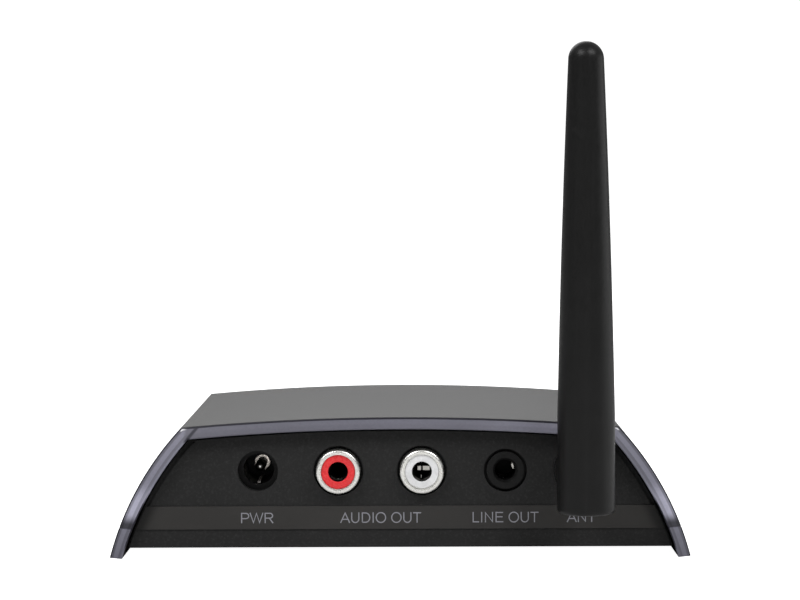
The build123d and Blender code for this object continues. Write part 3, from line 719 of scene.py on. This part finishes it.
def lathe(name, x, outline, materials, stands_for, sharp_angle=35):
    """A turned piece round the socket line: a closed outline of (radius, y, material index)."""
    mesh = bmesh.new()
    rings = []
    for step in range(LATHE_STEPS):
        turn = 2 * pi * step / LATHE_STEPS
        ring = [
            mesh.verts.new(((x + radius * sin(turn)) * MM, y * MM, (SOCKET_Z + radius * cos(turn)) * MM))
            for radius, y, kind in outline
        ]
        rings.append(ring)
    count = len(outline)
    for near, far in zip(rings, rings[1:] + rings[:1]):
        for corner in range(count):
            following = (corner + 1) % count
            face = mesh.faces.new((near[corner], near[following], far[following], far[corner]))
            face.material_index = outline[corner][2]
    bmesh.ops.remove_doubles(mesh, verts=mesh.verts, dist=WELD * MM)
    piece = new_object(name, mesh, materials, sharp_angle)
    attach(piece, "housing")
    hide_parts(stands_for)


def with_kind(points, kind):
    """Adds a material index to each (radius, y)."""
    return [(radius, y, kind) for radius, y in points]


def make_phono_shell(colour, x):
    """A plated shell with a rolled end and a fine step inside it."""
    low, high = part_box("phono_shell_" + colour)
    tip, root = high.y / MM, low.y / MM
    roll = 0.5
    outline = [(SHELL_R, root), (SHELL_R, tip - roll)]
    outline += round_points((SHELL_R - roll, tip - roll), roll, 0, 88, 12)[1:]
    outline += [(3.46, tip - 0.02), (3.43, tip - 0.16), (3.37, tip - 0.16), (3.35, tip - 0.06)]
    outline += [(3.23, tip - 0.08), (SHELL_BORE_R, tip - 0.14), (SHELL_BORE_R, root)]
    lathe("shell_" + colour, x, with_kind(outline, 0), [NICKEL], "phono_shell_" + colour)


def make_phono_insert(colour, x, material):
    """The coloured ring with softened edges; its bore and the cavity behind it are dark."""
    low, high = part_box("phono_insert_" + colour)
    face_y, root = high.y / MM, low.y / MM
    ease = 0.1
    outline = with_kind([(INSERT_R, root), (INSERT_R, face_y - ease)], 0)
    outline += with_kind(round_points((INSERT_R - ease, face_y - ease), ease, 0, 90, 4)[1:], 0)
    outline += with_kind(round_points((INSERT_BORE_R + ease, face_y - ease), ease, 90, 180, 4), 0)
    outline += with_kind([
        (INSERT_BORE_R, face_y - 0.14),
        (INSERT_BORE_R, face_y - INSERT_GUIDE),
        (INSERT_CAVITY_R, face_y - INSERT_GUIDE),
        (INSERT_CAVITY_R, face_y - INSERT_CAVITY_DEPTH),
        (0.0, face_y - INSERT_CAVITY_DEPTH),
    ], 1)
    outline += with_kind([(0.0, root)], 0)
    lathe("insert_" + colour, x, outline, [material, BORE], "phono_insert_" + colour)


def add_leaf(mesh, profile, x, start, sweep):
    """One leaf of a contact: the profile of (radius, y) swept part of a turn, angles in radians."""
    sheets = []
    for thickness in (0.0, CONTACT_WALL):
        sheet = []
        for radius, y in profile:
            margin = HALF_SLIT / radius
            reach = radius + thickness
            line = []
            for step in range(LEAF_STEPS + 1):
                angle = start + margin + (sweep - 2 * margin) * step / LEAF_STEPS
                line.append(mesh.verts.new((
                    (x + reach * sin(angle)) * MM, y * MM, (SOCKET_Z + reach * cos(angle)) * MM,
                )))
            sheet.append(line)
        sheets.append(sheet)
    close_sheets(mesh, *sheets)


def add_tab(mesh, x, y, tab):
    """A thin tilted plate just in front of y."""
    x0, x1, z0, z1, tilt = tab
    place = Matrix.Translation(Vector((x + (x0 + x1) / 2, y + 0.25, SOCKET_Z + (z0 + z1) / 2)) * MM)
    size = Matrix.Diagonal(Vector((x1 - x0, 0.1, z1 - z0, 1 / MM)) * MM)
    bmesh.ops.create_cube(mesh, size=1, matrix=place @ Matrix.Rotation(radians(tilt), 4, "X") @ size)


def make_phono_contact(colour, x, depth, turn, tabs):
    """A sprung tube in leaves that funnel inwards, its metal darkened to near black as painted shade, with
    small polished tabs at its mouth.
    """
    low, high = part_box("phono_insert_" + colour)
    mouth = high.y / MM - depth
    profile = [
        (1.74, mouth - 0.1),
        (1.70, mouth),
        (1.60, mouth - 0.05),
        (1.20, mouth - 1.1),
        (1.05, mouth - 1.9),
        (1.20, mouth - 3.0),
        (1.45, mouth - 6.5),
    ]
    sweep = 2 * pi / CONTACT_LEAVES
    mesh = bmesh.new()
    for leaf in range(CONTACT_LEAVES):
        add_leaf(mesh, profile, x, radians(turn) + sweep * leaf, sweep)
    leaf_faces = len(mesh.faces)
    for tab in tabs:
        add_tab(mesh, x, mouth, tab)
    mesh.faces.ensure_lookup_table()
    for face in mesh.faces[leaf_faces:]:
        face.material_index = 1
    piece = new_object("contact_" + colour, mesh, [SHADED_METAL, CONTACT], 50)
    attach(piece, "housing")
    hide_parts("phono_contact_" + colour)


def close_sheets(mesh, inner, outer):
    """Makes a thin solid from two grids of points of the same size."""
    rows, columns = len(inner), len(inner[0])
    for sheet in (inner, outer):
        for row in range(rows - 1):
            for column in range(columns - 1):
                mesh.faces.new((
                    sheet[row][column],
                    sheet[row][column + 1],
                    sheet[row + 1][column + 1],
                    sheet[row + 1][column],
                ))
    rim = [(0, column) for column in range(columns)]
    rim += [(row, columns - 1) for row in range(1, rows)]
    rim += [(rows - 1, column) for column in range(columns - 2, -1, -1)]
    rim += [(row, 0) for row in range(rows - 2, 0, -1)]
    for (row, column), (next_row, next_column) in zip(rim, rim[1:] + rim[:1]):
        mesh.faces.new((
            inner[row][column],
            inner[next_row][next_column],
            outer[next_row][next_column],
            outer[row][column],
        ))


def make_power_pin():
    """The inlet's centre pin, its metal darkened to near black as painted shade: a domed tip with a painted
    highlight, a small dot of bright plated metal, and a ring at its root.
    """
    low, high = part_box("power_jack_pin")
    tip, root = high.y / MM, low.y / MM
    collar = [(0.0, root), (1.6, root), (1.6, root + 0.85)]
    collar += round_points((1.45, root + 0.85), 0.15, 0, 90, 4)[1:]
    collar += [(1.1, root + 1.0), (1.05, root + 0.7)]
    pin = [(0.98, root + 0.7), (0.98, tip - 0.7)]
    pin += round_points((0.28, tip - 0.7), 0.7, 0, 90, 8)[1:]
    # a dot of bright plated metal on the tip: a painted highlight on the shaded pin
    dot = [(0.19, tip), (0.0, tip)]
    outline = with_kind(collar, 1) + with_kind(pin, 0) + with_kind(dot, 2)
    lathe("power_pin", POWER_X, outline, [SHADED_METAL, COLLAR, NICKEL], "power_jack_pin")


def make_line_leaf():
    """The polished elbow of a spring leaf that stands in the line socket's mouth."""
    mouth_depth, wall, columns = 1.3, 0.12, 7
    foot_x, lean = -1.55, 0.26
    foot_z, length = 0.10, 1.75
    low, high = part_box("line_jack_body")
    front = high.y / MM - mouth_depth
    mesh = bmesh.new()
    sheets = []
    for back in (0.0, wall):
        sheet = []
        for row in range(LEAF_STEPS + 1):
            share = row / LEAF_STEPS
            half = 0.44 * sin(pi * (0.12 + 0.84 * share)) ** 0.6 * (1 - 0.6 * share)
            line = []
            for column in range(columns):
                across = -1 + 2 * column / (columns - 1)
                bulge = 0.20 * sin(pi * share) - 0.12 * across * across
                line.append(mesh.verts.new((
                    (LINE_X + foot_x + lean * share - half * across) * MM,
                    (front + bulge - back) * MM,
                    (SOCKET_Z + foot_z + length * share) * MM,
                )))
            sheet.append(line)
        sheets.append(sheet)
    close_sheets(mesh, *sheets)
    piece = new_object("line_leaf", mesh, [CONTACT], 60)
    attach(piece, "housing")


# ---------------------------------------------------------------- legends
def bow(centre, across, up, start, end, steps=12):
    """Points on part of an ellipse, angles in degrees."""
    points = []
    for step in range(steps + 1):
        turn = radians(start + (end - start) * step / steps)
        points.append((centre[0] + across * cos(turn), centre[1] + up * sin(turn)))
    return points


LETTER_HEIGHT = 1.96
LEGEND_Z = 7.3  # the middle of the letters
INK_HEIGHT = 0.01
PEN = 0.052  # half a stroke's width, as a share of the letters' height
TOP = 1 - PEN
# name, words and where the middle is: each legend sits a little beside its sockets' middle
LEGENDS = [
    ("legend_power", "PWR", POWER_X + 0.19),
    ("legend_audio", "AUDIO OUT", (RED_X + WHITE_X) / 2 - 0.125),
    ("legend_line", "LINE OUT", LINE_X + 0.05),
    ("legend_antenna", "ANT", ANTENNA_X),
]
LETTERS = {  # width of the letter's cell, then its strokes, with the letters' height as 1
    " ": (0.39, []),
    "A": (0.93, [[(0.03, 0), (0.465, TOP), (0.90, 0)], [(0.18, 0.34), (0.75, 0.34)]]),
    "D": (1.01, [[(0.17, PEN), (0.17, TOP)] + bow((0.48, 0.5), 0.40, 0.5 - PEN, 90, -90) + [(0.17, PEN)]]),
    "E": (0.93, [[(0.84, TOP), (0.17, TOP), (0.17, PEN), (0.86, PEN)], [(0.17, 0.53), (0.79, 0.53)]]),
    "I": (0.39, [[(0.195, 0), (0.195, 1)]]),
    "L": (0.78, [[(0.16, 1), (0.16, PEN), (0.72, PEN)]]),
    "N": (1.01, [[(0.165, 0), (0.165, 0.93), (0.84, 0.07), (0.84, 1)]]),
    "O": (1.09, [bow((0.545, 0.5), 0.45, 0.5 - PEN / 2, 90, -270, 28)]),
    "P": (0.93, [[(0.17, 0), (0.17, TOP)] + bow((0.58, 0.69), 0.27, 0.25, 90, -90) + [(0.17, 0.44)]]),
    "R": (1.01, [
        [(0.17, 0), (0.17, TOP)] + bow((0.62, 0.71), 0.26, 0.23, 90, -90) + [(0.17, 0.48)],
        [(0.56, 0.48), (0.92, 0)],
    ]),
    "T": (0.85, [[(0.04, TOP), (0.81, TOP)], [(0.425, TOP), (0.425, 0)]]),
    "U": (1.01, [[(0.165, 1)] + bow((0.505, 0.38), 0.34, 0.38 - PEN / 2, 180, 360) + [(0.845, 1)]]),
    "W": (1.32, [[(0.04, 1), (0.37, 0.05), (0.66, 0.95), (0.95, 0.05), (1.28, 1)]]),
}


def add_stroke(mesh, points, place, front_y):
    """A thin raised ribbon along the points; place turns a point of a word into x and z."""
    points = [Vector(point) for point in points]
    rails = []
    for index, point in enumerate(points):
        after = (points[min(index + 1, len(points) - 1)] - point).normalized()
        before = (point - points[max(index - 1, 0)]).normalized()
        if index == 0:
            before = after
        if index == len(points) - 1:
            after = before
        ahead = (before + after).normalized()
        side = Vector((-ahead.y, ahead.x))
        spread = PEN / max(0.5, abs(side.dot(Vector((-after.y, after.x)))))
        rails.append((place(point + side * spread), place(point - side * spread)))
    strips = []
    for y in (front_y, front_y - 2 * INK_HEIGHT):
        strips.append([[mesh.verts.new((x * MM, y * MM, z * MM)) for x, z in rail] for rail in rails])
    close_sheets(mesh, *strips)


def make_legend(name, words, x):
    """A printed word on the rear panel's band, in plain thin capitals."""
    total = sum(LETTERS[letter][0] for letter in words)

    def on_panel(point):
        return x - (point.x - total / 2) * LETTER_HEIGHT, LEGEND_Z + (point.y - 0.5) * LETTER_HEIGHT

    start = 0.0
    mesh = bmesh.new()
    for letter in words:
        width, strokes = LETTERS[letter]
        for count, stroke in enumerate(strokes):
            line = [(start + across, up) for across, up in stroke]
            add_stroke(mesh, line, on_panel, BAND_Y + INK_HEIGHT * (1 - 0.2 * count))
        start += width
    piece = new_object(name, mesh, [INK])
    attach(piece, "housing")


# ---------------------------------------------------------------- stage
CAMERA_PLACE = Vector((-2.27, 508.35, 72.15)) * MM
CAMERA_PITCH = 0.05  # radians downwards
CAMERA_ROLL = 0.0036
LENS = 116.02
SHIFT_X = -0.0143
FLOOR_HALF_SIZE = 6  # metres
FLOOR_DROP = 0.02 * MM  # keeps the floor off the feet that stand on it


def make_camera():
    """The view of the sockets from a little above, with a long lens."""
    data = bpy.data.cameras.new("camera")
    data.sensor_width = 36
    data.lens = LENS
    data.shift_x = SHIFT_X
    data.clip_start = 0.01
    data.clip_end = 20
    camera = bpy.data.objects.new("camera", data)
    forward = Vector((0, -cos(CAMERA_PITCH), -sin(CAMERA_PITCH)))
    right = Vector((-1, 0, 0))
    up = right.cross(forward)
    right, up = right - CAMERA_ROLL * up, up + CAMERA_ROLL * right
    turn = Matrix((right, up, -forward)).transposed().to_4x4()
    camera.matrix_world = Matrix.Translation(CAMERA_PLACE) @ turn
    bpy.context.scene.collection.objects.link(camera)
    bpy.context.scene.camera = camera


def make_floor():
    """A white table top, bright enough that only a close contact shades it."""
    mesh = bmesh.new()
    bmesh.ops.create_grid(mesh, x_segments=8, y_segments=8, size=FLOOR_HALF_SIZE)
    data = bpy.data.meshes.new("floor")
    mesh.to_mesh(data)
    mesh.free()
    floor = bpy.data.objects.new("floor", data)
    floor.location.z = -FLOOR_DROP
    bpy.context.scene.collection.objects.link(floor)
    material = bpy.data.materials.new("floor_white")
    material.use_nodes = True
    tree = material.node_tree
    shader = tree.nodes["Principled BSDF"]
    shader.inputs["Base Color"].default_value = (0.84, 0.84, 0.84, 1)
    shader.inputs["Roughness"].default_value = 0.9
    shader.inputs["Specular IOR Level"].default_value = 0.0
    path = tree.nodes.new("ShaderNodeLightPath")
    shader.inputs["Emission Color"].default_value = (1, 1, 1, 1)
    tree.links.new(path.outputs["Is Camera Ray"], shader.inputs["Emission Strength"])
    data.materials.append(material)


def ranged(tree, value, low, high, to_low, to_high, kind="LINEAR"):
    """Maps a socket's number from low..high onto to_low..to_high, held at the ends."""
    node = tree.nodes.new("ShaderNodeMapRange")
    node.interpolation_type = kind
    tree.links.new(value, node.inputs["Value"])
    for key, number in (("From Min", low), ("From Max", high), ("To Min", to_low), ("To Max", to_high)):
        node.inputs[key].default_value = number
    return node.outputs["Result"]


def make_world():
    """White to the camera; to everything else a soft dome, dim at the horizon and on the sockets' side."""
    world = bpy.data.worlds.new("studio")
    bpy.context.scene.world = world
    world.use_nodes = True
    tree = world.node_tree
    tree.nodes.clear()
    coordinates = tree.nodes.new("ShaderNodeTexCoord")
    split = tree.nodes.new("ShaderNodeSeparateXYZ")
    tree.links.new(coordinates.outputs["Generated"], split.inputs[0])
    upwards = ranged(tree, split.outputs["Z"], 0.0, 0.6, 0.205, 0.45, "SMOOTHSTEP")
    to_sockets = ranged(tree, split.outputs["Y"], -0.2, 0.8, 1.0, 0.6)
    level = tree.nodes.new("ShaderNodeMath")
    level.operation = "MULTIPLY"
    tree.links.new(upwards, level.inputs[0])
    tree.links.new(to_sockets, level.inputs[1])
    dome = tree.nodes.new("ShaderNodeBackground")
    tree.links.new(level.outputs[0], dome.inputs["Strength"])
    white = tree.nodes.new("ShaderNodeBackground")
    white.inputs["Color"].default_value = (1, 1, 1, 1)
    white.inputs["Strength"].default_value = 1.1
    path = tree.nodes.new("ShaderNodeLightPath")
    choose = tree.nodes.new("ShaderNodeMixShader")
    tree.links.new(path.outputs["Is Camera Ray"], choose.inputs[0])
    tree.links.new(dome.outputs[0], choose.inputs[1])
    tree.links.new(white.outputs[0], choose.inputs[2])
    output = tree.nodes.new("ShaderNodeOutputWorld")
    tree.links.new(choose.outputs[0], output.inputs["Surface"])


def softbox(name, place, target, width, height, power):
    """A white rectangular studio light at place that faces target, both in metres."""
    data = bpy.data.lights.new(name, "AREA")
    data.shape = "RECTANGLE"
    data.size = width
    data.size_y = height
    data.energy = power
    lamp = bpy.data.objects.new(name, data)
    lamp.location = place
    lamp.rotation_mode = "QUATERNION"
    lamp.rotation_quaternion = (Vector(target) - Vector(place)).to_track_quat("-Z", "Y")
    lamp.visible_camera = False
    bpy.context.scene.collection.objects.link(lamp)


def make_lights():
    """Two softboxes high on the sockets' side, a wide low reflector, a small card and a dim fill."""
    centre = (0, 0, 0.02)
    softbox("key_left", (0.42, 0.50, 0.63), centre, 0.48, 0.32, 3.1)
    softbox("key_right", (-0.42, 0.50, 0.63), centre, 0.48, 0.32, 3.1)
    softbox("side_reflector", (-0.85, -0.08, 0.14), centre, 0.80, 0.32, 0.90)
    softbox("near_card", (0.0, 0.62, 0.02), centre, 0.10, 0.06, 0.03)
    softbox("front_fill", (0.2, -0.9, 0.6), centre, 0.8, 0.6, 2.5)


def main():
    """Materials on the CAD nodes, then the detailed pieces, then the stage."""
    dress_cad_nodes()
    make_cover()
    make_phono_shell("red", RED_X)
    make_phono_shell("white", WHITE_X)
    make_phono_insert("red", RED_X, RED)
    make_phono_insert("white", WHITE_X, WHITE)
    make_phono_contact("red", RED_X, depth=2.6, turn=30, tabs=RED_TABS)
    make_phono_contact("white", WHITE_X, depth=1.6, turn=0, tabs=WHITE_TABS)
    make_power_pin()
    make_line_leaf()
    for name, words, x in LEGENDS:
        make_legend(name, words, x)
    make_camera()
    make_floor()
    make_world()
    make_lights()
    bpy.context.scene.view_settings.view_transform = "Standard"


main()
